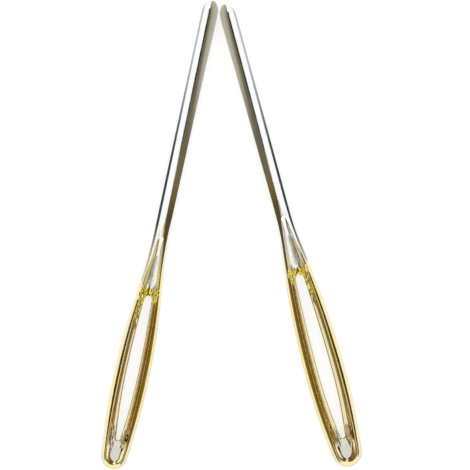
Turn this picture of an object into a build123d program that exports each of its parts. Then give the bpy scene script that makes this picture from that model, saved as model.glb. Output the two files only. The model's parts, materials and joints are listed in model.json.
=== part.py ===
from build123d import *
from math import atan, cos, degrees, hypot, radians, sin, sqrt
import os

# Two blunt yarn needles, laid in a V with their tips together. Each one is a single length of
# steel wire: its point is ground to a round nose, and its other end is pressed flat, grooved along
# both faces and pierced, which makes the long eye. Lengths are in millimetres.

# Wire and nose
needle_length = 70.0
shaft_diameter = 2.4
nose_diameter = 2.34
nose_length = 1.6
tip_radius = 0.8
nose_lead = 1.8  # the shaft reaches its full diameter this far behind the nose

# Neck, from the round shaft to the flat eye, measured back from the slot's upper end
shaft_stop = 14.5
waist_stop = 9.2
waist_width = 2.35
plate_start = 6.2
waist_drop_share = 0.38  # of the drop from the shaft's thickness to the eye's
waist_round_share = 0.46  # corner radius of the waist's section to its thickness

# Eye, as pressed
eye_thickness = 1.6
belly_set_back = 13.5  # from the eye's lower end to its widest place
end_round_share = 0.37  # radius of the eye's lower end to its width

# Gutters, the grooves that let the thread lie flush along both faces
web_thickness = 0.8
rim_width = 0.9
rim_round_share = 0.7  # of the rim, rounded off at its outer edge
gutter_wall_run = 0.36
gutter_floor_start = 5.7  # above the slot's upper end
gutter_run_up = 2.4  # the floor's upper end climbs to the land over this length
gutter_tip_radius = 0.35
gutter_end_radius_share = 0.6  # of the eye's lower end radius

# Slot
slot_foot = 4.3  # of steel left between the slot and the eye's lower end
slot_belly_rise = 1.0  # the slot is widest this far above the eye's own widest place
slot_top_round_share = 0.6  # of the slot's half width
slot_end_round_share = 0.34
slot_bevel = 0.22

# What differs between the two eyes
left_eye_width = 5.2
left_limb_width = 1.74
left_slot_length = 21.6
left_shoulder_share = 0.64  # of the flare from waist to belly that curves outwards
right_eye_width = 5.9
right_limb_width = 1.95
right_slot_length = 24.7
right_shoulder_share = 0.8

# How they lie
left_splay = 13.6  # degrees from the middle
right_splay = 13.85
tip_gap = 0.13
right_set_back = 0.55
cut_overrun = 0.5

rim_fillet = min(rim_width, eye_thickness / 2) * rim_round_share
belly_position = needle_length - belly_set_back
slot_end = needle_length - slot_foot
slot_belly = belly_position - slot_belly_rise


def meeting_point(half_width, belly, centre, radius):
    """Where the side arc from the belly runs tangent into the end circle."""
    reach = centre - belly
    side_radius = (reach**2 + half_width**2 - radius**2) / (2 * (half_width - radius))
    part_way = radius / (side_radius - radius)
    return part_way * (side_radius - half_width), centre + part_way * reach


def lens(plane, half_width, belly, top_centre, top_radius, end_centre, end_radius):
    """A long eye shape: two side arcs on each side, closed by a round at each end."""
    with BuildSketch(plane) as outline:
        with BuildLine():
            for centre, radius, way in ((top_centre, top_radius, -1), (end_centre, end_radius, 1)):
                x, y = meeting_point(half_width, belly, centre, radius)
                TangentArc((half_width, belly), (x, y), tangent=(0, way))
                ThreePointArc((x, y), (0, centre + way * radius), (-x, y))
                TangentArc((-half_width, belly), (-x, y), tangent=(0, way))
        make_face()
    return outline.sketch


def nose_side(splay):
    """Half the room that the nose takes between the two tips."""
    turn = radians(splay)
    return hypot(nose_diameter / 2 * cos(turn), nose_length * sin(turn))


def outer_reach(eye_width, splay):
    """From the middle between the tips to the eye's outer side."""
    end_radius = eye_width * end_round_share
    straight = needle_length - end_radius - nose_length
    return nose_side(splay) + straight * sin(radians(splay)) + end_radius


def seat_plane(side, splay, eye_width, slot_top, set_back):
    """The needle's own plane: x across it, y from tip to eye, z up, with its origin at the tip."""
    shaft_end = slot_top - shaft_stop
    land_end = needle_length - rim_fillet
    tilt = atan((shaft_diameter - eye_thickness) / 2 / (land_end - shaft_end))
    turn = radians(splay)
    end_radius = eye_width * end_round_share
    nose_reach = hypot(nose_diameter / 2 * sin(turn), nose_length * cos(turn))
    straight = needle_length - end_radius - nose_length
    nose_x = side * (nose_side(splay) + tip_gap / 2) + middle
    nose_y = (straight * cos(turn) + end_radius - nose_reach + right_set_back) / 2 - set_back
    along = Vector(0, -1, 0).rotate(Axis.X, degrees(tilt)).rotate(Axis.Z, side * splay)
    up = Vector(0, 0, 1).rotate(Axis.X, degrees(tilt)).rotate(Axis.Z, side * splay)
    height = shaft_end * sin(tilt) + shaft_diameter / 2 * cos(tilt)
    nose = Vector(nose_x, nose_y, height - nose_length * sin(tilt))
    return Plane(origin=nose - along * nose_length, x_dir=along.cross(up), z_dir=up)


def build_needle(seat, eye_width, limb_width, slot_top, shoulder_share):
    shaft_radius = shaft_diameter / 2
    nose_radius = nose_diameter / 2
    shaft_end = slot_top - shaft_stop
    waist = slot_top - waist_stop
    plate_top = slot_top - plate_start
    eye_half = eye_width / 2
    waist_half = waist_width / 2
    end_radius = eye_width * end_round_share

    waist_thickness = shaft_diameter - (shaft_diameter - eye_thickness) * waist_drop_share
    waist_round = waist_thickness * waist_round_share

    # flare: a hollow arc out of the waist runs into the full arc of the belly
    flare = belly_position - waist
    growth = eye_half - waist_half
    both_radii = (flare**2 + growth**2) / (2 * growth)
    full_radius = both_radii * shoulder_share
    hollow_radius = both_radii - full_radius
    turn_y = belly_position - flare * shoulder_share
    turn_x = eye_half - growth * shoulder_share

    def half_width_at(y):
        return waist_half + hollow_radius - sqrt(hollow_radius**2 - (y - waist) ** 2)

    def across(y):
        return Plane(origin=seat.from_local_coords(Vector(0, y, 0)), x_dir=seat.x_dir, z_dir=seat.y_dir)

    with BuildPart() as needle:
        # eye blank, with its rim rounded by the press
        with BuildSketch(seat):
            with BuildLine():
                end_x, end_y = meeting_point(
                    eye_half, belly_position, needle_length - end_radius, end_radius
                )
                top_x = half_width_at(plate_top)
                for side in (-1, 1):
                    TangentArc((side * eye_half, belly_position), (side * end_x, end_y), tangent=(0, 1))
                    TangentArc((side * eye_half, belly_position), (side * turn_x, turn_y), tangent=(0, -1))
                    sweep_back = Vector(side * (eye_half - full_radius), belly_position)
                    spoke = Vector(side * turn_x, turn_y) - sweep_back
                    TangentArc(
                        (side * turn_x, turn_y),
                        (side * top_x, plate_top),
                        tangent=(side * spoke.Y, -side * spoke.X),
                    )
                ThreePointArc((end_x, end_y), (0, needle_length), (-end_x, end_y))
                Line((-top_x, plate_top), (top_x, plate_top))
            make_face()
        extrude(amount=eye_thickness / 2, both=True)
        fillet(needle.edges().filter_by(GeomType.CIRCLE), rim_fillet)

        # neck, from the round shaft through an oval waist into the eye's own flat end
        length_axis = Axis(seat.origin, seat.y_dir)
        with BuildSketch(across(shaft_end)):
            Circle(shaft_radius)
        with BuildSketch(across(waist)):
            RectangleRounded(waist_width, waist_thickness, waist_round)
        add(needle.faces().sort_by(length_axis)[0])
        loft()

        # shaft and nose, turned about the needle's own axis
        with BuildSketch(seat):
            with BuildLine():
                x, y = meeting_point(nose_radius, nose_length, tip_radius, tip_radius)
                TangentArc((0, 0), (x, y), tangent=(1, 0))
                TangentArc((nose_radius, nose_length), (x, y), tangent=(0, -1))
                Polyline(
                    (nose_radius, nose_length),
                    (shaft_radius, nose_length + nose_lead),
                    (shaft_radius, shaft_end),
                    (0, shaft_end),
                    (0, 0),
                )
            make_face()
        revolve(axis=length_axis)

        # gutters, one pressed into each face, with a sloping wall all round
        floor_half = eye_half - rim_width - gutter_wall_run
        floor_end_radius = end_radius * gutter_end_radius_share - gutter_wall_run
        gutter_depth = (eye_thickness - web_thickness) / 2
        floor_top = slot_top - gutter_floor_start
        gutter_end = needle_length - end_radius
        rise = shaft_radius + cut_overrun - web_thickness / 2
        widen = gutter_wall_run * rise / gutter_depth
        climb = gutter_run_up * rise / gutter_depth
        for face in (-1, 1):
            floor_shape = lens(
                seat.offset(face * web_thickness / 2),
                floor_half,
                belly_position,
                floor_top,
                gutter_tip_radius,
                gutter_end,
                floor_end_radius,
            )
            mouth_shape = lens(
                seat.offset(face * (web_thickness / 2 + rise)),
                floor_half + widen,
                belly_position,
                floor_top - climb,
                gutter_tip_radius,
                gutter_end,
                floor_end_radius + widen,
            )
            loft([floor_shape, mouth_shape], ruled=True, mode=Mode.SUBTRACT)

        # slot, pierced through the web, with its edges eased so that they don't cut the yarn
        slot_half = eye_half - limb_width
        slot_top_radius = slot_half * slot_top_round_share
        slot_end_radius = slot_half * slot_end_round_share
        slot_shape = lens(
            seat.offset(-eye_thickness / 2),
            slot_half,
            slot_belly,
            slot_top + slot_top_radius,
            slot_top_radius,
            slot_end - slot_end_radius,
            slot_end_radius,
        )
        extrude(slot_shape, amount=eye_thickness, mode=Mode.SUBTRACT)
        chamfer(needle.edges(Select.LAST).filter_by(GeomType.CIRCLE), slot_bevel)
    return needle


os.makedirs("parts", exist_ok=True)

# the pair's box is centred across
middle = (outer_reach(left_eye_width, left_splay) - outer_reach(right_eye_width, right_splay)) / 2

left_slot_top = slot_end - left_slot_length
left_seat = seat_plane(-1, left_splay, left_eye_width, left_slot_top, 0)
left_needle = build_needle(
    left_seat, left_eye_width, left_limb_width, left_slot_top, left_shoulder_share
)
left_needle.part.label = "left_needle"
export_step(left_needle.part, "parts/left_needle.step")

right_slot_top = slot_end - right_slot_length
right_seat = seat_plane(1, right_splay, right_eye_width, right_slot_top, right_set_back)
right_needle = build_needle(
    right_seat, right_eye_width, right_limb_width, right_slot_top, right_shoulder_share
)
right_needle.part.label = "right_needle"
export_step(right_needle.part, "parts/right_needle.step")
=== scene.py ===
import json
import math
import bmesh
import bpy
from mathutils import Matrix, Vector, noise


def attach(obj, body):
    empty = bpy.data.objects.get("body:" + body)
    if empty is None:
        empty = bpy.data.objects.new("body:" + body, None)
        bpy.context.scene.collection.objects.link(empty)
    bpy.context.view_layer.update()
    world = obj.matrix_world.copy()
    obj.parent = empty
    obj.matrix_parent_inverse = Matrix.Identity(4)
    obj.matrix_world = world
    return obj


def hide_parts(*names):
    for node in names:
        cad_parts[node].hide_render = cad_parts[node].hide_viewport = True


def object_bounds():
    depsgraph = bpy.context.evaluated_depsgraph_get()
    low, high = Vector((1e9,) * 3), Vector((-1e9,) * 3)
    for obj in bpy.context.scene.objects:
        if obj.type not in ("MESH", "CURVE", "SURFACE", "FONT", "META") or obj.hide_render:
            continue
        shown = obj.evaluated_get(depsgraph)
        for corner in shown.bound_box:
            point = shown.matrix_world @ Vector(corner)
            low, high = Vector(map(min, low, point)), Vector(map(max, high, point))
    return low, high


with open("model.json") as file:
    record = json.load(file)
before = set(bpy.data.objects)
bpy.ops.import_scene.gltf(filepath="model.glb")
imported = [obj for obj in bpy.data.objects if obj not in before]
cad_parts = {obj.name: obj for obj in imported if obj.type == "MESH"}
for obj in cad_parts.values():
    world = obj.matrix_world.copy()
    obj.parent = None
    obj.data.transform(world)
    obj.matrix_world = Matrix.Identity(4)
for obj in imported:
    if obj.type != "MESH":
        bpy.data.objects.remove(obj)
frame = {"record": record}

mm = 0.001
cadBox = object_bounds()
scene = bpy.context.scene
mounts = {mount["name"]: mount for mount in frame["record"]["mounts"]}


# Small helpers

def ease(t):
    t = min(max(t, 0.0), 1.0)
    return t * t * (3 - 2 * t)


def mix(a, b, t):
    return a + (b - a) * t


def linearColour(hexCode):
    channels = [int(hexCode[i:i + 2], 16) / 255 for i in (1, 3, 5)]
    linear = [c / 12.92 if c <= 0.04045 else ((c + 0.055) / 1.055) ** 2.4 for c in channels]
    return (*linear, 1.0)


# One needle's shape, in millimetres: x across it, y from the tip to the eye, z up

wire = {
    "length": 70.0,
    "shaftRadius": 1.2,
    "noseRadius": 1.17,
    "noseLength": 1.6,
    "tipRadius": 0.8,
    "noseLead": 1.8,        # behind the nose the shaft grows to its full size
    "shaftStop": 14.5,      # this and the next four are measured back from the slot's upper end
    "waistStop": 9.2,
    "gutterStop": 8.9,
    "plateStop": 6.2,
    "floorStop": 5.7,
    "waistHalf": 1.175,
    "thinningBias": 1.6,    # the press bites late in the neck
    "plateHalf": 0.8,
    "webHalf": 0.4,
    "bellySetBack": 13.5,
    "slotBellyRise": 1.0,
    "slotFoot": 4.3,
    "endRoundShare": 0.37,
    "gutterEndShare": 0.7,
    "footEndShare": 0.36,
    "rimWidth": 0.92,
    "rimRound": 0.92,       # the press leaves the rim nearly half round
    "wallRun": 0.42,
    "gutterTip": 0.35,
    "wallCurve": 0.55,      # how far the wall is from straight to fully curved at its top and foot
    "floorSag": 0.03,       # the punch leaves the gutter's floor a little hollow
    "sagStart": 2.5,        # and the hollow deepens over this length
    "crestLean": 0.31,      # the rounded rim still leans outwards where it meets the crest
    "slotTopShare": 0.6,
    "slotEndShare": 0.34,
    "slotRound": 0.15,
    "pastSlot": 2.5,        # the painted brown and the crumbs lie no further than this past the slot's ends
}

# How finely each stretch of the surface is divided before it is subdivided once
steps = {
    "tip": 7,
    "nose": 5,
    "shaft": 26,
    "neck": 18,
    "gutterTip": 5,
    "side": 92,
    "eyeEnd": 13,
    "skin": 16,     # from the silhouette up to the crest of the gutter
    "wall": 8,      # from the crest down to the gutter's floor
    "floor": 12,
    "slotEdge": 5,
    "landSpread": 0.6,      # below 1 the rows on the flat land lie further apart than on the round rim
    "floorGather": 1.8,     # rows of the floor gather towards the slot, where the crumbs are
    "closeAt": 0.32,        # and round its upper end, this share of the way down
    "closePull": 0.5,
    "topHold": 4,           # how soon a loop's rows leave its own upper end
    "endHold": 6,           # and how late they reach its lower one
    "weld": 0.002,          # millimetres between places that are merged
}

needles = {     # outward is the way that a needle's own x points out of the V
    "left": {"eyeHalf": 2.6, "limb": 1.74, "slotLength": 21.6, "shoulderShare": 0.64, "outward": 1},
    "right": {"eyeHalf": 2.95, "limb": 1.95, "slotLength": 24.7, "shoulderShare": 0.8, "outward": -1},
}


def tangentMeeting(halfWidth, belly, centre, radius):
    # where the long side arc, upright at the belly, runs into an end circle
    reach = centre - belly
    sideRadius = (reach ** 2 + halfWidth ** 2 - radius ** 2) / (2 * (halfWidth - radius))
    partWay = radius / (sideRadius - radius)
    return partWay * (sideRadius - halfWidth), centre + partWay * reach, sideRadius


class Lens:
    # a long eye shape: side arcs that meet a round top and a round end
    def __init__(self, halfWidth, belly, topCentre, topRadius, endCentre, endRadius):
        self.halfWidth, self.belly = halfWidth, belly
        self.topCentre, self.topRadius = topCentre, topRadius
        self.endCentre, self.endRadius = endCentre, endRadius
        self.topX, self.topY, self.upperRadius = tangentMeeting(halfWidth, belly, topCentre, topRadius)
        self.endX, self.endY, self.lowerRadius = tangentMeeting(halfWidth, belly, endCentre, endRadius)

    def halfAt(self, y):
        radius = self.upperRadius if y < self.belly else self.lowerRadius
        return self.halfWidth - radius + math.sqrt(radius ** 2 - (y - self.belly) ** 2)

    def halfNear(self, y):
        # the same, held at the long sides' ends
        return self.halfAt(min(max(y, self.topY), self.endY))

    def topPoint(self, t):
        angle = t * math.atan2(self.topX, self.topCentre - self.topY)
        return Vector((self.topRadius * math.sin(angle), self.topCentre - self.topRadius * math.cos(angle)))

    def endPoint(self, t):
        start = math.atan2(self.endY - self.endCentre, self.endX)
        angle = mix(start, math.pi / 2, t)
        return Vector((self.endRadius * math.cos(angle), self.endCentre + self.endRadius * math.sin(angle)))


class NeedleShape:
    def __init__(self, eye):
        w = wire
        self.eyeHalf = eye["eyeHalf"]
        _, self.tipMeetY, self.noseSideRadius = tangentMeeting(w["noseRadius"], w["noseLength"],
                                                               w["tipRadius"], w["tipRadius"])
        self.belly = w["length"] - w["bellySetBack"]
        slotEnd = w["length"] - w["slotFoot"]
        self.slotTop = slotEnd - eye["slotLength"]
        self.shaftEnd = self.slotTop - w["shaftStop"]
        self.waist = self.slotTop - w["waistStop"]
        self.plateTop = self.slotTop - w["plateStop"]
        self.crestTop = self.slotTop - w["gutterStop"]
        self.endRadius = 2 * self.eyeHalf * w["endRoundShare"]
        self.endCentre = w["length"] - self.endRadius

        # the flare from waist to belly, a hollow arc and then a full one
        flare, growth = self.belly - self.waist, self.eyeHalf - w["waistHalf"]
        bothRadii = (flare ** 2 + growth ** 2) / (2 * growth)
        self.fullRadius = bothRadii * eye["shoulderShare"]
        self.hollowRadius = bothRadii - self.fullRadius
        self.turnY = self.belly - flare * eye["shoulderShare"]
        self.rim = Lens(self.eyeHalf, self.belly, self.waist, w["waistHalf"], self.endCentre, self.endRadius)

        # the crest of the gutter, the foot of its wall, and the slot with its rounded edge
        crestHalf, tip = self.eyeHalf - w["rimWidth"], w["gutterTip"]
        crestEnd, footEnd = self.endRadius * w["gutterEndShare"], self.endRadius * w["footEndShare"]
        self.crest = Lens(crestHalf, self.belly, self.crestTop + tip, tip, self.endCentre, crestEnd)
        self.foot = Lens(crestHalf - w["wallRun"], self.belly, self.slotTop - w["floorStop"], tip,
                         self.endCentre, footEnd)
        slotHalf, slotBelly = self.eyeHalf - eye["limb"], self.belly - w["slotBellyRise"]
        topRadius, endRadius = slotHalf * w["slotTopShare"], slotHalf * w["slotEndShare"]
        topCentre, endCentre = self.slotTop + topRadius, slotEnd - endRadius
        grow = w["slotRound"]
        self.slot = Lens(slotHalf, slotBelly, topCentre, topRadius, endCentre, endRadius)
        self.slotRim = Lens(slotHalf + grow, slotBelly, topCentre, topRadius + grow,
                            endCentre, endRadius + grow)

    def halfWidthAt(self, y):
        w = wire
        if y < w["noseLength"]:
            if y < self.tipMeetY:
                return math.sqrt(max(0.0, w["tipRadius"] ** 2 - (w["tipRadius"] - y) ** 2))
            sideRadius = self.noseSideRadius
            return w["noseRadius"] - sideRadius + math.sqrt(sideRadius ** 2 - (w["noseLength"] - y) ** 2)
        if y < self.shaftEnd:
            return mix(w["noseRadius"], w["shaftRadius"], ease((y - w["noseLength"]) / w["noseLead"]))
        if y < self.waist:
            share = (y - self.shaftEnd) / (self.waist - self.shaftEnd)
            return mix(w["shaftRadius"], w["waistHalf"], ease(share))
        if y < self.turnY:
            radius = self.hollowRadius
            return w["waistHalf"] + radius - math.sqrt(radius ** 2 - (y - self.waist) ** 2)
        if y < self.belly:
            return self.eyeHalf - self.fullRadius + math.sqrt(self.fullRadius ** 2 - (self.belly - y) ** 2)
        return self.rim.halfAt(y)

    def pressedAt(self, y):
        # 0 on the round shaft, 1 where the press has made it flat
        t = (y - self.shaftEnd) / (self.plateTop - self.shaftEnd)
        return ease(max(t, 0.0) ** wire["thinningBias"])

    def skinPoint(self, outer, inner, share):
        # the outside of the needle, from its silhouette up and over to the crest or the ridge
        w = wire
        press = self.pressedAt(outer.y)
        width = self.halfWidthAt(min(outer.y, self.belly))
        height = mix(min(w["shaftRadius"], width), w["plateHalf"], press)
        reach = (inner - outer).length
        corner = min(mix(height, w["rimRound"], press), reach)
        bent = corner / (corner + (reach - corner) * steps["landSpread"]) if reach else 1.0
        if share <= bent:
            turn = math.pi / 2 - w["crestLean"] * press * ease(corner / reach if reach else 0.0)
            angle = turn * share / bent
            across = corner * (1 - math.cos(angle)) / (1 - math.cos(turn))
            z = height * math.sin(angle) / math.sin(turn)
        else:
            across, z = mix(corner, reach, (share - bent) / (1 - bent)), height
        place = outer + (inner - outer) * (across / reach if reach else 0.0)
        return Vector((place.x, place.y, z))

    def shaftRows(self):
        # the places along the needle, from its tip to the top of the gutter
        w = wire
        tipTurn = math.acos(1 - self.tipMeetY / w["tipRadius"])
        rows = [w["tipRadius"] * (1 - math.cos(tipTurn * i / steps["tip"])) for i in range(steps["tip"] + 1)]
        noseEnd = w["noseLength"] + w["noseLead"]
        for name, stop in (("nose", noseEnd), ("shaft", self.shaftEnd), ("neck", self.crestTop)):
            start = rows[-1]
            rows += [mix(start, stop, (i + 1) / steps[name]) for i in range(steps[name])]
        return rows

    def eyeStations(self):
        # each ring of places round the eye's loops: the stretch, and how far along it
        return [("top", i / steps["gutterTip"]) for i in range(steps["gutterTip"])] + \
            [("side", i / steps["side"]) for i in range(steps["side"])] + \
            [("end", i / steps["eyeEnd"]) for i in range(steps["eyeEnd"] + 1)]

    def sharedY(self, t):
        # rows lie closest round the slot's upper end
        close, pull = steps["closeAt"], steps["closePull"]
        wave = math.sin(2 * math.pi * (t - close)) + math.sin(2 * math.pi * close)
        return mix(self.crest.topY, self.rim.endY, t - pull * wave / (2 * math.pi))

    def loopPoint(self, lens, station):
        # the same station on each loop lies about straight across the limb
        stretch, t = station
        if stretch == "top":
            return lens.topPoint(t)
        if stretch == "end":
            return lens.endPoint(t)
        y = self.sharedY(t) + (lens.topY - self.crest.topY) * (1 - t) ** steps["topHold"] + \
            (lens.endY - self.rim.endY) * t ** steps["endHold"]
        return Vector((lens.halfAt(y), y))

    def rimPoint(self, station):
        stretch, t = station
        if stretch == "end":
            return self.rim.endPoint(t)
        y = self.loopPoint(self.crest, station).y if stretch == "top" else self.sharedY(t)
        return Vector((self.halfWidthAt(y), y))

    def besideSlot(self, y):
        return self.slotTop - wire["pastSlot"] < y < self.slot.endCentre + wire["pastSlot"]

    def floorAt(self, place):
        # the gutter's floor, hollow across its middle
        start = self.foot.topCentre - self.foot.topRadius
        hollow = max(0.0, 1 - (place.x / self.foot.halfNear(place.y)) ** 2)
        hollow *= ease((place.y - start) / wire["sagStart"])
        return wire["webHalf"] - wire["floorSag"] * hollow

    def eyePoint(self, station, index):
        # index counts up from the silhouette, over the land, down the gutter and into the slot
        w = wire
        outer, crest = self.rimPoint(station), self.loopPoint(self.crest, station)
        if index <= steps["skin"]:
            return self.skinPoint(outer, crest, index / steps["skin"])
        top = self.skinPoint(outer, crest, 1.0)
        foot = self.loopPoint(self.foot, station)
        index -= steps["skin"]
        if index <= steps["wall"]:
            t = index / steps["wall"]
            fall = mix(t, ease(t), w["wallCurve"])
            place = crest + (foot - crest) * t
            return Vector((place.x, place.y, mix(top.z, w["webHalf"], fall)))
        edge = self.loopPoint(self.slotRim, station)
        index -= steps["wall"]
        if index <= steps["floor"]:
            place = edge + (foot - edge) * (1 - index / steps["floor"]) ** steps["floorGather"]
            return Vector((place.x, place.y, self.floorAt(place)))
        inside = self.loopPoint(self.slot, station)
        index -= steps["floor"]
        turn = math.pi / 2 * min(index / (steps["slotEdge"] - 1), 1.0)
        place = inside + (edge - inside) * (1 - math.sin(turn))
        z = self.floorAt(edge) - w["slotRound"] * (1 - math.cos(turn)) if index < steps["slotEdge"] else 0.0
        return Vector((place.x, place.y, z))


def layPatch(mesh, columns, rows, placeOf):
    # a grid whose own rows and columns are read off and sent to their places, in millimetres
    made = bmesh.ops.create_grid(mesh, x_segments=columns, y_segments=rows, size=1.0)
    for vert in made["verts"]:
        column = round((vert.co.x + 1) / 2 * columns)
        row = round((vert.co.y + 1) / 2 * rows)
        vert.co = placeOf(column, row) * mm


# Marks that the plating reads off the surface, in millimetres: the gutters' painted brown, a painted shade
# and reflection, and the outer limb's edge painted paler, a painted highlight
marks = {
    "spread": 0.28,         # on the inner limb the painted brown spreads this far past the gutter's wall
    "evenness": 1.6,        # above 1 it is fully brown over more of the wall
    "brownFade": 1.5,       # and it comes and goes over this length at the slot's ends
    "highlightWidth": 0.5,        # the outer limb's edge is painted paler this far in, a painted highlight
    "rubFade": 3.0,         # and less and less over this length past the slot's lower end
}


def markSurface(mesh, shape, outward):
    browned = mesh.verts.layers.float.new("paintedGrooveShade")
    paintedHighlight = mesh.verts.layers.float.new("paintedHighlight")
    for vert in mesh.verts:
        x, y = (vert.co / mm).xy
        pastEnd = y - shape.slot.endCentre
        # the outer limb's edge is painted paler: a painted highlight
        if x * outward > 0 and y > shape.waist:
            inside = (shape.halfWidthAt(min(y, shape.rim.endY)) - abs(x)) / marks["highlightWidth"]
            vert[paintedHighlight] = (1 - ease(inside)) * (1 - ease(pastEnd / marks["rubFade"]))
        # the gutter's walls are painted brown, a painted shade and reflection, and on the inner limb a
        # little past them
        if shape.besideSlot(y):
            crestHalf, footHalf = shape.crest.halfNear(y), shape.foot.halfNear(y)
            spread = marks["spread"] if x * outward < 0 else 0.0
            wall = (abs(x) - footHalf + spread) / (crestHalf + 2 * spread - footHalf)
            brown = min(1.0, marks["evenness"] * math.sin(math.pi * min(max(wall, 0.0), 1.0)))
            brown *= ease((y - shape.slotTop) / marks["brownFade"])
            vert[browned] = brown * (1 - ease(pastEnd / marks["brownFade"]))


# Crumbs of thick plate that the piercing punch left beside the slot, in millimetres
crumbs = {
    "grain": 0.34,
    "height": 0.55,
    "backShare": 0.5,       # lower on the back, which lies just over the table
    "stretch": 0.5,         # they are longer up the slot's wall than along it
    "dent": 0.2,            # the hollows between them are shallow
    "ring": 0.6,            # they ring the slot's upper end, this far to each side
    "ringGap": 0.4,         # of a line this far out from it
    "ringEnd": 0.8,
    "collar": 0.85,         # a band of them crosses the gutter, this far to each side
    "collarRise": 0.5,      # of a line this far above the slot
    "collarEdge": 0.25,
    "limbStart": 0.5,
    "limbRun": 5.5,         # they thin out over this length down the outer limb
    "footRun": 2.2,         # others lie round the slot's lower end
    "footShare": 0.8,
}


def roughen(mesh, shape, outward):
    mesh.normal_update()
    crumbed = mesh.verts.layers.float.new("crumbs")
    slot = shape.slot
    for vert in mesh.verts:
        x, y, z = vert.co / mm
        if not shape.besideSlot(y):
            continue
        down = y - slot.topCentre
        slotHalf, crestHalf = slot.halfNear(y), shape.crest.halfNear(y)
        onLimb = math.sin(math.pi * min(max((abs(x) - slotHalf) / (crestHalf - slotHalf), 0.0), 1.0))

        away = abs(math.hypot(x, min(down, 0.0)) - slot.topRadius - crumbs["ringGap"])
        ring = (1 - ease(away / crumbs["ring"])) * (1 - ease(down / crumbs["ringEnd"]))
        collar = 1 - ease(abs(y - shape.slotTop + crumbs["collarRise"]) / crumbs["collar"])
        collar *= 1 - ease((abs(x) - crestHalf) / crumbs["collarEdge"])
        limb = onLimb * (1 - ease(down / crumbs["limbRun"]))
        if x * outward <= 0 or down <= -crumbs["limbStart"]:
            limb = 0.0
        upper = max(ring, collar, limb)
        lower = onLimb * (1 - ease(abs(y - slot.endCentre) / crumbs["footRun"])) * crumbs["footShare"]
        amount = max(upper, lower)
        if amount > 0:
            lump = noise.noise(Vector((x, y, z * crumbs["stretch"])) / crumbs["grain"])
            height = crumbs["height"] * (crumbs["backShare"] if z < 0 else 1)
            vert[crumbed] = upper
            vert.co += vert.normal * (max(lump, -crumbs["dent"]) * amount * height * mm)


def makeNeedle(side):
    # half of one face is laid out, and mirrored across and then to the back
    shape = NeedleShape(needles[side])
    mesh = bmesh.new()
    rows = shape.shaftRows()
    stations = shape.eyeStations()
    inward = steps["skin"] + steps["wall"] + steps["floor"] + steps["slotEdge"]

    def shaftPlace(column, row):
        y = rows[row]
        return shape.skinPoint(Vector((shape.halfWidthAt(y), y)), Vector((0, y)), column / steps["skin"])

    layPatch(mesh, steps["skin"], len(rows) - 1, shaftPlace)
    layPatch(mesh, inward, len(stations) - 1, lambda column, row: shape.eyePoint(stations[row], column))
    weld = steps["weld"] * mm
    for axis in ("X", "Z"):
        everything = mesh.verts[:] + mesh.edges[:] + mesh.faces[:]
        bmesh.ops.mirror(mesh, geom=everything, axis=axis, merge_dist=weld)
    bmesh.ops.remove_doubles(mesh, verts=mesh.verts, dist=weld)
    bmesh.ops.recalc_face_normals(mesh, faces=mesh.faces)

    markSurface(mesh, shape, needles[side]["outward"])
    roughen(mesh, shape, needles[side]["outward"])
    mesh.transform(seatOf(side))
    data = bpy.data.meshes.new(side + "_needle_wire")
    mesh.to_mesh(data)
    mesh.free()
    data.shade_smooth()
    piece = bpy.data.objects.new(side + "_needle_wire", data)
    scene.collection.objects.link(piece)
    smoothing = piece.modifiers.new("smoothing", "SUBSURF")
    smoothing.levels = smoothing.render_levels = 1
    return piece


def seatOf(side):
    # the needle's own frame, from the mounts on its shaft and in its eye
    shaft, eye = mounts[side + "_shaft"], mounts[side + "_eye"]
    toTip = Vector(shaft["axis"]).normalized()
    up = Vector(eye["axis"]).normalized()
    middle = (wire["noseLength"] + wire["noseLead"]) * mm + shaft["dims"]["length_mm"] * mm / 2
    tip = Vector(shaft["pos_m"]) + toTip * middle
    along = -toTip
    across = along.cross(up)
    return Matrix.Translation(tip) @ Matrix((across, along, up)).transposed().to_4x4()


print("needles")
pieces = {}
for side in needles:
    piece = makeNeedle(side)
    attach(piece, side + "_needle")
    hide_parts(side + "_needle")
    pieces[side] = piece


# Materials

smooth = {"interpolation_type": "SMOOTHSTEP"}


def addNode(tree, kind, settings=None, links=None):
    node = tree.nodes.new(kind)
    for name, value in (settings or {}).items():
        if isinstance(name, int) or name in node.inputs:
            node.inputs[name].default_value = value
        else:
            setattr(node, name, value)
    for name, source in (links or {}).items():
        tree.links.new(source, node.inputs[name])
    return node


def newMaterial(name):
    material = bpy.data.materials.new(name)
    material.use_nodes = True
    material.node_tree.nodes.clear()
    return material, material.node_tree


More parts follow.
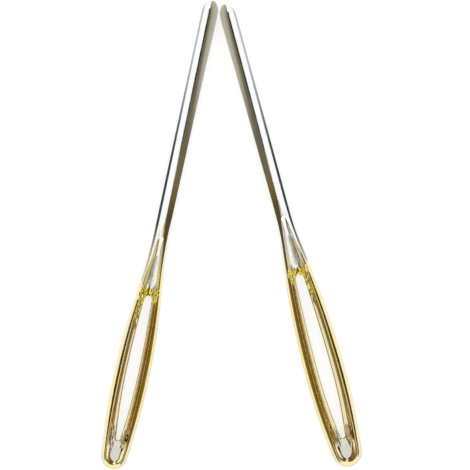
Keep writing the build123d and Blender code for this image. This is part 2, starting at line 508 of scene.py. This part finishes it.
plating = {
    "nickel": "#EEF1F1",
    "gold": "#F3E39A",
    "paleGold": "#EEE3B6",      # thinner plate, in patches
    "wornGold": "#E2D9AE",      # the gutter's floor is thinly plated
    "bareFloor": "#E3E5DA",     # and bare above the slot
    "endFloor": "#CDCDBF",      # and below it
    "brown": "#A47E33",         # painted shade and reflection: the gutter's walls are painted brown
    # a painted highlight along the outer limb's edge
    "paintedHighlightGold": "#EFE3C6",
    "thickGold": "#FBE97C",     # the crumbs are thickly plated
    "dipEdge": (31 * mm, 43 * mm),      # the gold starts and is whole this far from the tip
    "floorHeights": (0.40 * mm, 0.52 * mm),     # the floor's look ends between these, from the wire's middle
    "wornFrom": (-0.5 * mm, 4 * mm),    # the floor turns from bare to worn gold, past the slot's upper end
    "wornTo": (1.5 * mm, -2 * mm),      # and back again, past the middle of its lower round
    "patchSize": 3.0 * mm,
    "patchShades": (0.4, 0.65),
    "smearShades": (0.35, 0.7),
    "smear": 0.09,              # how much the roughness varies
    "roughness": 0.1,
    "drawLine": 0.22 * mm,      # drawing lines run along the wire; real ones are finer than a pixel
    "drawRun": 5.0 * mm,
    "drawDepth": 0.0012 * mm,
    "grain": 0.28 * mm,         # the cast look of thick plate, as coarse as the render can show
    "grainDepth": 0.0065 * mm,
    "speckles": (0.35, 0.6),    # the same grain speckles the painted brown
    "leastBrown": 0.72,
    "crumbEdge": (0.1, 0.6),
    "wave": 3.5 * mm,           # hand-straightened wire is never quite true
    "waveDepth": 0.004 * mm,
}


# Bright nickel plate on drawn steel wire, with the eye dipped in gold: a mirror with fine drawing
# lines that turns warm towards the eye
def makePlating(side):
    material, tree = newMaterial(side + "NickelAndGoldPlate")
    seat = seatOf(side)
    shape = NeedleShape(needles[side])
    colours = {name: linearColour(value) for name, value in plating.items() if isinstance(value, str)}
    coordinates = addNode(tree, "ShaderNodeTexCoord")
    local = addNode(tree, "ShaderNodeMapping", {"vector_type": "TEXTURE", "Location": seat.translation,
                    "Rotation": seat.to_euler()}, {"Vector": coordinates.outputs["Object"]}).outputs[0]
    apart = addNode(tree, "ShaderNodeSeparateXYZ", links={"Vector": local})
    along = apart.outputs["Y"]

    def pattern(size, detail=2.0, run=None):
        # noise whose lumps have a real size, longer along the wire where a run is given
        scale = (1 / size, 1 / (run or size), 1 / size)
        sized = addNode(tree, "ShaderNodeMapping", {"Scale": scale}, {"Vector": local})
        return addNode(tree, "ShaderNodeTexNoise", {"Scale": 1.0, "Detail": detail},
                       {"Vector": sized.outputs[0]}).outputs["Fac"]

    # the dip's two golds, in patches, and where they begin
    start, whole = plating["dipEdge"]
    dipped = addNode(tree, "ShaderNodeMapRange", {**smooth, "From Min": start, "From Max": whole},
                     {"Value": along})
    thin, thick = plating["patchShades"]
    patches = addNode(tree, "ShaderNodeMapRange", {"From Min": thin, "From Max": thick},
                      {"Value": pattern(plating["patchSize"])})
    golds = addNode(tree, "ShaderNodeMix", {"data_type": "RGBA", 6: colours["gold"], 7: colours["paleGold"]},
                    {"Factor": patches.outputs[0]})

    # the gutter's floor, worn beside the slot and bare past its ends
    height = addNode(tree, "ShaderNodeMath", {"operation": "ABSOLUTE"}, {0: apart.outputs["Z"]})
    low, high = plating["floorHeights"]
    raised = addNode(tree, "ShaderNodeMapRange", {**smooth, "From Min": low, "From Max": high},
                     {"Value": height.outputs[0]})
    bare, worn = (shape.slotTop * mm + past for past in plating["wornFrom"])
    below = addNode(tree, "ShaderNodeMapRange", {"From Min": bare, "From Max": worn}, {"Value": along})
    bare, worn = (shape.slot.endCentre * mm + past for past in plating["wornTo"])
    above = addNode(tree, "ShaderNodeMapRange", {"From Min": bare, "From Max": worn}, {"Value": along})
    between = addNode(tree, "ShaderNodeMath", {"operation": "MULTIPLY"},
                      {0: below.outputs[0], 1: above.outputs[0]})
    bareFloor = addNode(tree, "ShaderNodeMix", {"data_type": "RGBA", 6: colours["endFloor"],
                        7: colours["bareFloor"]}, {"Factor": above.outputs[0]})
    floor = addNode(tree, "ShaderNodeMix", {"data_type": "RGBA", 7: colours["wornGold"]},
                    {"Factor": between.outputs[0], 6: bareFloor.outputs[2]})
    plates = addNode(tree, "ShaderNodeMix", {"data_type": "RGBA"},
                     {"Factor": raised.outputs[0], 6: floor.outputs[2], 7: golds.outputs[2]})

    # the gutter walls' painted brown, a painted shade and reflection, the outer limb's edge painted paler, a
    # painted highlight, and the crumbs
    walls = addNode(tree, "ShaderNodeAttribute", {"attribute_name": "paintedGrooveShade"})
    dark, light = plating["speckles"]
    speckle = addNode(tree, "ShaderNodeMapRange", {"From Min": dark, "From Max": light,
                      "To Min": plating["leastBrown"]}, {"Value": pattern(plating["grain"])})
    browned = addNode(tree, "ShaderNodeMath", {"operation": "MULTIPLY"},
                      {0: walls.outputs["Fac"], 1: speckle.outputs[0]})
    plates = addNode(tree, "ShaderNodeMix", {"data_type": "RGBA", 7: colours["brown"]},
                     {"Factor": browned.outputs[0], 6: plates.outputs[2]})
    # the painted highlight on the outer limb's edge
    edge = addNode(tree, "ShaderNodeAttribute", {"attribute_name": "paintedHighlight"})
    plates = addNode(tree, "ShaderNodeMix", {"data_type": "RGBA", 7: colours["paintedHighlightGold"]},
                     {"Factor": edge.outputs["Fac"], 6: plates.outputs[2]})
    crumbed = addNode(tree, "ShaderNodeAttribute", {"attribute_name": "crumbs"})
    thin, thick = plating["crumbEdge"]
    crumb = addNode(tree, "ShaderNodeMapRange", {"From Min": thin, "From Max": thick},
                    {"Value": crumbed.outputs["Fac"]})
    plates = addNode(tree, "ShaderNodeMix", {"data_type": "RGBA", 7: colours["thickGold"]},
                     {"Factor": crumb.outputs[0], 6: plates.outputs[2]})
    goldness = addNode(tree, "ShaderNodeMath", {"operation": "MAXIMUM"},
                       {0: dipped.outputs[0], 1: crumb.outputs[0]})
    colour = addNode(tree, "ShaderNodeMix", {"data_type": "RGBA", 6: colours["nickel"]},
                     {"Factor": goldness.outputs[0], 7: plates.outputs[2]})

    clean, smeared = plating["smearShades"]
    smear = addNode(tree, "ShaderNodeMapRange", {"From Min": clean, "From Max": smeared,
                    "To Min": plating["roughness"], "To Max": plating["roughness"] + plating["smear"]},
                    {"Value": pattern(plating["patchSize"] / 2, 3.0)})
    normal = None
    heights = ((pattern(plating["wave"], 1.0), plating["waveDepth"]),
               (pattern(plating["drawLine"], 2.0, plating["drawRun"]), plating["drawDepth"]),
               (pattern(plating["grain"], 2.0), plating["grainDepth"]))
    for height, depth in heights:
        bump = addNode(tree, "ShaderNodeBump", {"Strength": 1.0, "Distance": depth}, {"Height": height})
        if normal:
            tree.links.new(normal, bump.inputs["Normal"])
        normal = bump.outputs[0]
    metal = addNode(tree, "ShaderNodeBsdfPrincipled", {"Metallic": 1.0},
                    {"Base Color": colour.outputs[2], "Roughness": smear.outputs[0], "Normal": normal})
    addNode(tree, "ShaderNodeOutputMaterial", links={"Surface": metal.outputs["BSDF"]})
    return material


print("plating")
for side, piece in pieces.items():
    piece.data.materials.append(makePlating(side))


# The floor, and the cards and flags that only the metal sees

def stageObject(name, mesh, material, hidden=True):
    data = bpy.data.meshes.new(name)
    mesh.to_mesh(data)
    mesh.free()
    data.materials.append(material)
    thing = bpy.data.objects.new(name, data)
    scene.collection.objects.link(thing)
    if hidden:
        thing.visible_camera = thing.visible_diffuse = thing.visible_shadow = False
        thing.visible_transmission = False


def squareOf(width, length, place):
    # a plain card that lies flat
    mesh = bmesh.new()
    bmesh.ops.create_grid(mesh, x_segments=1, y_segments=1, size=0.5)
    bmesh.ops.scale(mesh, verts=mesh.verts, vec=(width, length, 1))
    bmesh.ops.translate(mesh, verts=mesh.verts, vec=place)
    return mesh


def standingCard(height, length, place):
    # the same, turned up on its long edge
    mesh = squareOf(height, length, (0, 0, 0))
    bmesh.ops.rotate(mesh, verts=mesh.verts, cent=(0, 0, 0), matrix=Matrix.Rotation(math.pi / 2, 3, "Y"))
    bmesh.ops.translate(mesh, verts=mesh.verts, vec=place)
    return mesh


def evenColour(name, hexCode):
    material, tree = newMaterial(name)
    shine = addNode(tree, "ShaderNodeEmission", {"Color": linearColour(hexCode)})
    addNode(tree, "ShaderNodeOutputMaterial", links={"Surface": shine.outputs[0]})
    return material


studio = {
    "dome": 1.12,           # the white dome that lights everything
    "paper": "#A8A8A8",
    "paperGlow": 0.665,     # brings the paper up to white for the camera and in the metal
    "paperWidth": 1.2,
    "paperDrop": 0.02 * mm, # it lies this far under the needles
}


def makeFloor():
    mesh = squareOf(studio["paperWidth"], studio["paperWidth"], (0, 0, cadBox[0][2] - studio["paperDrop"]))
    material, tree = newMaterial("whitePaper")
    path = addNode(tree, "ShaderNodeLightPath")
    seen = addNode(tree, "ShaderNodeMath", {"operation": "MAXIMUM"},
                   {0: path.outputs["Is Camera Ray"], 1: path.outputs["Is Glossy Ray"]})
    seen = addNode(tree, "ShaderNodeMath", {"operation": "MAXIMUM"},
                   {0: path.outputs["Is Transmission Ray"], 1: seen.outputs[0]})
    lift = addNode(tree, "ShaderNodeMath", {"operation": "MULTIPLY", 1: studio["paperGlow"]},
                   {0: seen.outputs[0]})
    paper = addNode(tree, "ShaderNodeBsdfDiffuse", {"Color": linearColour(studio["paper"])})
    glow = addNode(tree, "ShaderNodeEmission", links={"Strength": lift.outputs[0]})
    both = addNode(tree, "ShaderNodeAddShader", links={0: paper.outputs[0], 1: glow.outputs[0]})
    addNode(tree, "ShaderNodeOutputMaterial", links={"Surface": both.outputs[0]})
    stageObject("floor", mesh, material, hidden=False)


# A card that stands between the needles. Its places are measured from the pair's middle up to the tips
middleCard = {
    "across": -0.2 * mm,
    "length": 120 * mm,
    "top": 130 * mm,
    "brown": "#886B37",             # beside the eyes
    "neckBrown": "#5C4A28",         # darker beside the necks
    "neckFrom": (-12 * mm, -3 * mm),
    "neckTo": (7 * mm, 0 * mm),
    "olive": "#6C6650",             # and olive nearer the tips
    "oliveFrom": (-4 * mm, 16 * mm),
    "footGrey": "#C4BDA8",          # its lowest edge catches light where the needles meet
    "footHeights": (8 * mm, 1 * mm),
    "footFrom": (10 * mm, 26 * mm),
    "stripPlaces": (1 * mm, -7 * mm, -34 * mm),     # beside the eyes its lowest part is white,
    "stripHeights": (0.001 * mm, 4.6 * mm, 9.0 * mm),   # which puts the bright line along their rims
    "stripFade": (1.25, 0.85),      # its edge, in shares of its height
    "darkHeights": (90 * mm, 150 * mm),     # it is dark up to these, beside the eyes and beside the tips
    "darkChange": (1 * mm, 12 * mm),
    "darkFade": (0.7, 2.2),         # its edge, in shares of that height
}


def makeMiddleCard():
    card = middleCard
    foot = cadBox[0][2]
    mesh = standingCard(card["top"], card["length"], (card["across"], 0, card["top"] / 2 + foot))
    material, tree = newMaterial("brownCard")
    colours = {name: linearColour(value) for name, value in card.items() if isinstance(value, str)}
    white = (studio["dome"], studio["dome"], studio["dome"], 1)
    coordinates = addNode(tree, "ShaderNodeTexCoord")
    apart = addNode(tree, "ShaderNodeSeparateXYZ", links={"Vector": coordinates.outputs["Object"]})
    y, z = apart.outputs["Y"], apart.outputs["Z"]
    ramps = {}
    for name in ("neckFrom", "neckTo", "oliveFrom", "footHeights", "footFrom"):
        start, end = card[name]
        ramp = addNode(tree, "ShaderNodeMapRange", {**smooth, "From Min": start, "From Max": end},
                       {"Value": z if name == "footHeights" else y})
        ramps[name] = ramp.outputs[0]

    # its browns, and its pale foot at the tips
    atNeck = addNode(tree, "ShaderNodeMath", {"operation": "MULTIPLY"},
                     {0: ramps["neckFrom"], 1: ramps["neckTo"]})
    atFoot = addNode(tree, "ShaderNodeMath", {"operation": "MULTIPLY"},
                     {0: ramps["footHeights"], 1: ramps["footFrom"]})
    browns = addNode(tree, "ShaderNodeMix", {"data_type": "RGBA", 6: colours["brown"], 7: colours["olive"]},
                     {"Factor": ramps["oliveFrom"]})
    browns = addNode(tree, "ShaderNodeMix", {"data_type": "RGBA", 7: colours["neckBrown"]},
                     {"Factor": atNeck.outputs[0], 6: browns.outputs[2]})
    footed = addNode(tree, "ShaderNodeMix", {"data_type": "RGBA", 7: colours["footGrey"]},
                     {"Factor": atFoot.outputs[0], 6: browns.outputs[2]})

    # its white strip beside the eyes, which grows taller in two stretches
    start, bend, end = card["stripPlaces"]
    least, atBend, atEnd = card["stripHeights"]
    rise = addNode(tree, "ShaderNodeMapRange", {"From Min": start, "From Max": bend, "To Min": least,
                   "To Max": atBend}, {"Value": y})
    further = addNode(tree, "ShaderNodeMapRange", {"From Min": bend, "From Max": end,
                      "To Max": atEnd - atBend}, {"Value": y})
    stripTop = addNode(tree, "ShaderNodeMath", {"operation": "ADD"},
                       {0: rise.outputs[0], 1: further.outputs[0]})
    share = addNode(tree, "ShaderNodeMath", {"operation": "DIVIDE"}, {0: z, 1: stripTop.outputs[0]})
    above, below = card["stripFade"]
    lit = addNode(tree, "ShaderNodeMapRange", {**smooth, "From Min": above, "From Max": below},
                  {"Value": share.outputs[0]})
    lined = addNode(tree, "ShaderNodeMix", {"data_type": "RGBA", 7: white},
                    {"Factor": lit.outputs[0], 6: footed.outputs[2]})

    # and it turns white towards its top
    start, end = card["darkChange"]
    atEyes, atTips = card["darkHeights"]
    cover = addNode(tree, "ShaderNodeMapRange", {**smooth, "From Min": start, "From Max": end,
                    "To Min": atEyes, "To Max": atTips}, {"Value": y})
    share = addNode(tree, "ShaderNodeMath", {"operation": "DIVIDE"}, {0: z, 1: cover.outputs[0]})
    below, above = card["darkFade"]
    fade = addNode(tree, "ShaderNodeMapRange", {**smooth, "From Min": below, "From Max": above},
                   {"Value": share.outputs[0]})
    whole = addNode(tree, "ShaderNodeMix", {"data_type": "RGBA", 7: white},
                    {"Factor": fade.outputs[0], 6: lined.outputs[2]})
    shine = addNode(tree, "ShaderNodeEmission", links={"Color": whole.outputs[2]})
    addNode(tree, "ShaderNodeOutputMaterial", links={"Surface": shine.outputs[0]})
    stageObject("middle_card", mesh, material)


# A black flag over the tips draws the dark line along the top of each shaft, in millimetres
tipFlag = {
    "black": "#14130C",
    "height": 50,
    "halfWidths": ((9, 3), (13, 10.4), (27, 15.4), (60, 19)),   # each with its place towards the tips first
}


def makeTipFlag():
    mesh = bmesh.new()

    def place(column, row):
        y, half = tipFlag["halfWidths"][row]
        return Vector(((2 * column - 1) * half, y, tipFlag["height"]))

    layPatch(mesh, 1, len(tipFlag["halfWidths"]) - 1, place)
    stageObject("tip_flag", mesh, evenColour("blackFlag", tipFlag["black"]))


# An olive flag over each neck, which the outer half of its gutter shows
neckFlags = {
    "olive": "#8F9172",
    "height": 50 * mm,
    "width": 5.0 * mm,
    "length": 8.6 * mm,
    "outerSide": 0.9 * mm,  # from the needle's middle
    "lowerEnd": 1.0 * mm,   # past the slot's upper end
}


def makeNeckFlags():
    flags = neckFlags
    material = evenColour("oliveFlag", flags["olive"])
    for side, eye in needles.items():
        across = eye["outward"] * (flags["outerSide"] - flags["width"] / 2)
        along = NeedleShape(eye).slotTop * mm + flags["lowerEnd"] - flags["length"] / 2
        mesh = squareOf(flags["width"], flags["length"], (across, along, flags["height"]))
        mesh.transform(seatOf(side))
        stageObject(side + "_neck_flag", mesh, material)


# A plain card stands well outside each eye
sideCards = {
    "brown": "#4C3B1C",
    "gap": 15 * mm,         # from the needle's middle
    "heights": (9 * mm, 27 * mm),
    "start": 5 * mm,        # before the slot's upper end
    "end": 80 * mm,         # from the needle's tip
}


def makeSideCards():
    material = evenColour("sideCard", sideCards["brown"])
    low, high = sideCards["heights"]
    for side, eye in needles.items():
        start, end = NeedleShape(eye).slotTop * mm - sideCards["start"], sideCards["end"]
        place = (eye["outward"] * sideCards["gap"], (start + end) / 2, (low + high) / 2)
        mesh = standingCard(high - low, end - start, place)
        mesh.transform(seatOf(side))
        stageObject(side + "_side_card", mesh, material)


# A slate sheet lies on the paper beside each shaft: seen in the metal, its dark is a painted reflection of
# the paper's shade beside the shaft
sheets = {
    "slate": "#414845",
    "paleSlate": "#C4C6C2",
    "paleFrom": (12 * mm, 29 * mm),     # towards the tips
    "whiteFrom": (2 * mm, -7 * mm),     # towards the eyes
    "edges": (1.2 * mm, 12 * mm),       # its long ones, from the needle's middle
    "stop": 2 * mm,         # before the slot's upper end
    "lift": 4 * mm,         # its outer corner beside the neck is lifted this much
}


def makeSheets():
    material, tree = newMaterial("paintedShadeSheet")
    coordinates = addNode(tree, "ShaderNodeTexCoord")
    apart = addNode(tree, "ShaderNodeSeparateXYZ", links={"Vector": coordinates.outputs["Object"]})
    start, end = sheets["paleFrom"]
    paling = addNode(tree, "ShaderNodeMapRange", {**smooth, "From Min": start, "From Max": end},
                     {"Value": apart.outputs["Y"]})
    slates = addNode(tree, "ShaderNodeMix", {"data_type": "RGBA", 6: linearColour(sheets["slate"]),
                     7: linearColour(sheets["paleSlate"])}, {"Factor": paling.outputs[0]})
    start, end = sheets["whiteFrom"]
    ending = addNode(tree, "ShaderNodeMapRange", {"From Min": start, "From Max": end},
                     {"Value": apart.outputs["Y"]})
    whole = addNode(tree, "ShaderNodeMix", {"data_type": "RGBA", 7: (1, 1, 1, 1)},
                    {"Factor": ending.outputs[0], 6: slates.outputs[2]})
    shine = addNode(tree, "ShaderNodeEmission", links={"Color": whole.outputs[2]})
    addNode(tree, "ShaderNodeOutputMaterial", links={"Surface": shine.outputs[0]})

    near, far = sheets["edges"]
    for side, eye in needles.items():
        length = NeedleShape(eye).slotTop * mm - sheets["stop"]
        middle = (near + far) / 2
        mesh = squareOf(far - near, length, (eye["outward"] * middle, length / 2, 0))
        lifts = [(abs(vert.co.x) > middle) * sheets["lift"] * vert.co.y / length for vert in mesh.verts]
        mesh.transform(seatOf(side))
        for vert, lift in zip(mesh.verts, lifts):
            vert.co.z = cadBox[0][2] + lift
        stageObject(side + "_sheet", mesh, material)


def makeLight():
    world = bpy.data.worlds.new("softDome")
    scene.world = world
    world.use_nodes = True
    tree = world.node_tree
    tree.nodes.clear()
    back = addNode(tree, "ShaderNodeBackground", {"Color": (1, 1, 1, 1), "Strength": studio["dome"]})
    addNode(tree, "ShaderNodeOutputWorld", links={"Surface": back.outputs[0]})


# The camera looks straight down
shot = {
    "centre": (1.30 * mm, -0.03 * mm),
    "distance": 0.6,
    "width": 68.76 * mm,
    "roll": -0.0248,        # it stands a little askew
    "clip": (0.01, 10),
}


def makeCamera():
    data = bpy.data.cameras.new("camera")
    camera = bpy.data.objects.new("camera", data)
    scene.collection.objects.link(camera)
    data.lens = data.sensor_width * shot["distance"] / shot["width"]
    camera.location = (*shot["centre"], shot["distance"])
    camera.rotation_euler = (0, 0, shot["roll"])
    data.clip_start, data.clip_end = shot["clip"]
    scene.camera = camera


print("studio")
makeFloor()
makeMiddleCard()
makeTipFlag()
makeNeckFlags()
makeSideCards()
makeSheets()
makeLight()
makeCamera()
scene.view_settings.view_transform = "Standard"

bpy.context.view_layer.update()
